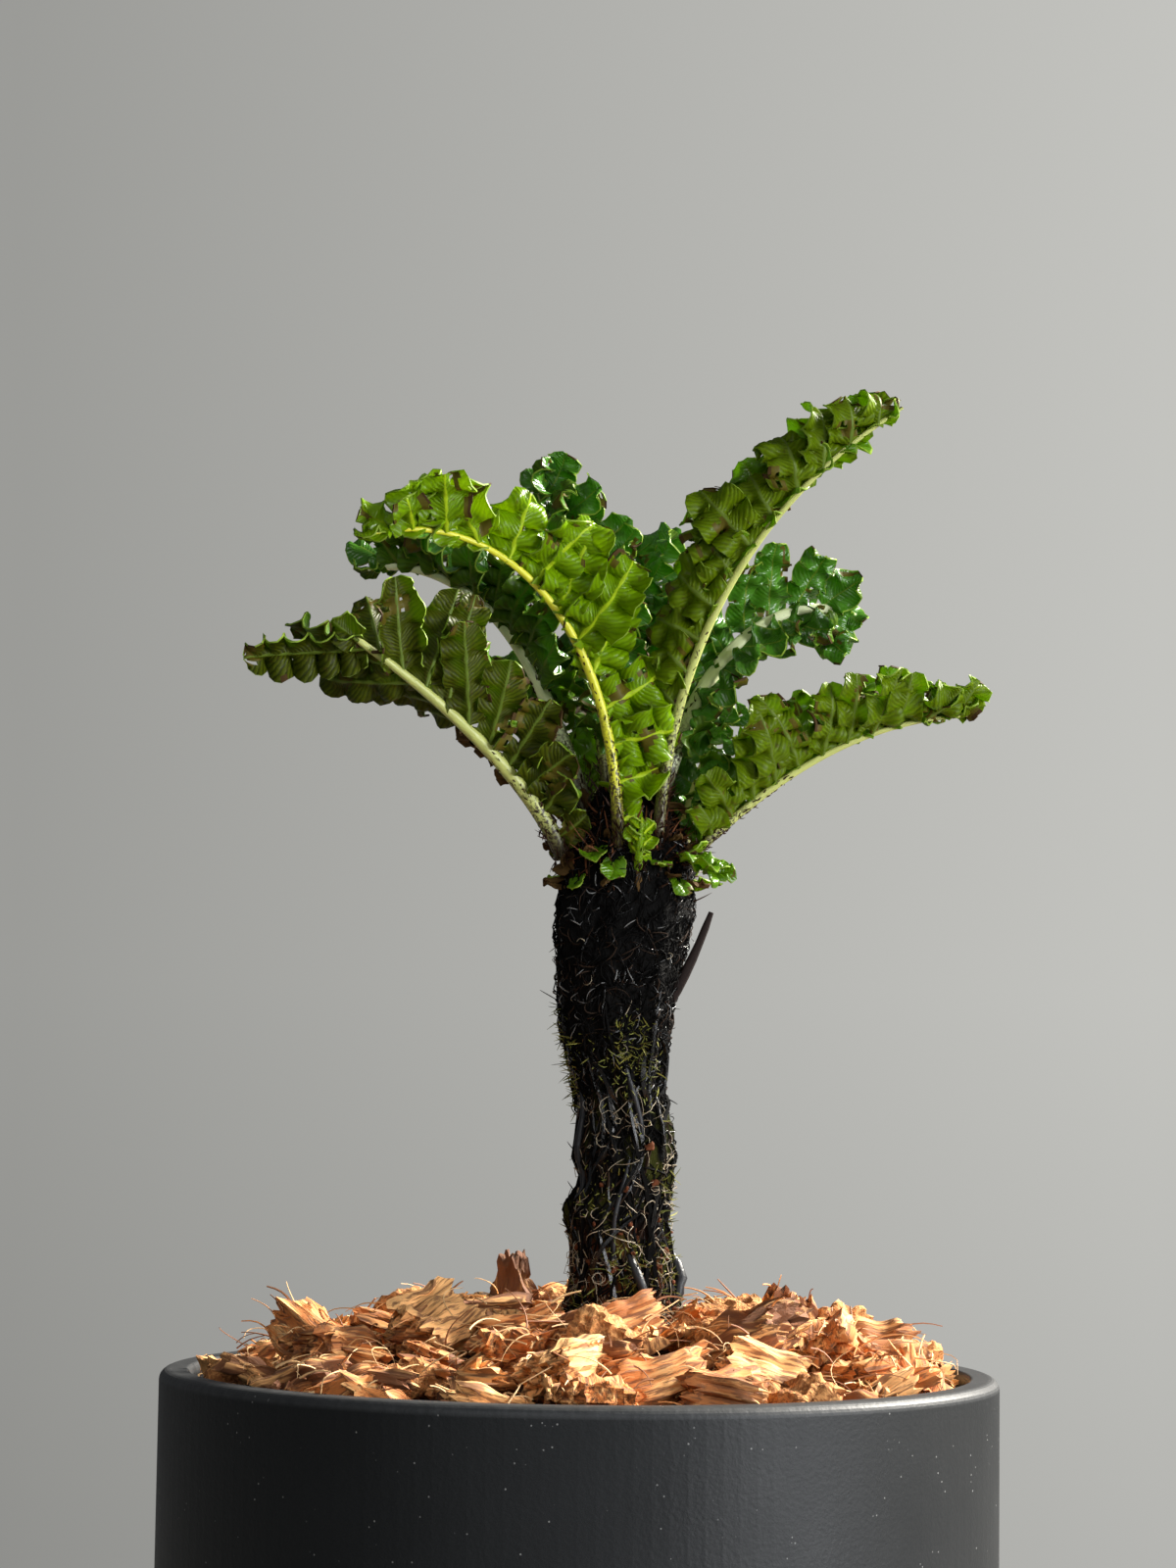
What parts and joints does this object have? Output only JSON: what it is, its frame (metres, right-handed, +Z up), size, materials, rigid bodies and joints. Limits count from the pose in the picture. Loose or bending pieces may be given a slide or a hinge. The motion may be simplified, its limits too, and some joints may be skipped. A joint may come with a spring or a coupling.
{
  "type": "potted dwarf tree fern",
  "caption": "Young dwarf tree fern with a fibrous black trunk and crisped strap-lobed fronds, in a round matt pot topped with husk chips.",
  "frame": {"origin": "centre of the pot's flat underside", "axes": "+Z up along the pot's axis, +X to the plant's right seen from the front, +Y to its back"},
  "size_m": [0.12, 0.12, 0.2502],
  "materials": {
    "pot_clay": "matt glazed clay",
    "husk_chips": "raw coconut husk",
    "root_fibre": "matted black fibre",
    "fern_leaf": "crisped leaf, slight gloss"
  },
  "bodies": {
    "root": {"pot": "pot_clay", "potting_mix": "husk_chips", "trunk": "root_fibre", "frond_left_low": "fern_leaf", "frond_front_arching_lower": "fern_leaf", "frond_front_arching_upper": "fern_leaf", "frond_right_tall": "fern_leaf", "frond_right_back_lower": "fern_leaf", "frond_right_back_upper": "fern_leaf", "frond_right_low": "fern_leaf", "frond_back_left_tall": "fern_leaf", "frond_left_back_lower": "fern_leaf", "frond_left_back_upper": "fern_leaf", "frond_back_upright": "fern_leaf", "frond_right_short": "fern_leaf", "frond_back_low": "fern_leaf", "frond_back_right_low": "fern_leaf", "frond_back_left_low": "fern_leaf", "frond_front_young": "fern_leaf", "frond_right_young": "fern_leaf"}
  },
  "joints": []
}
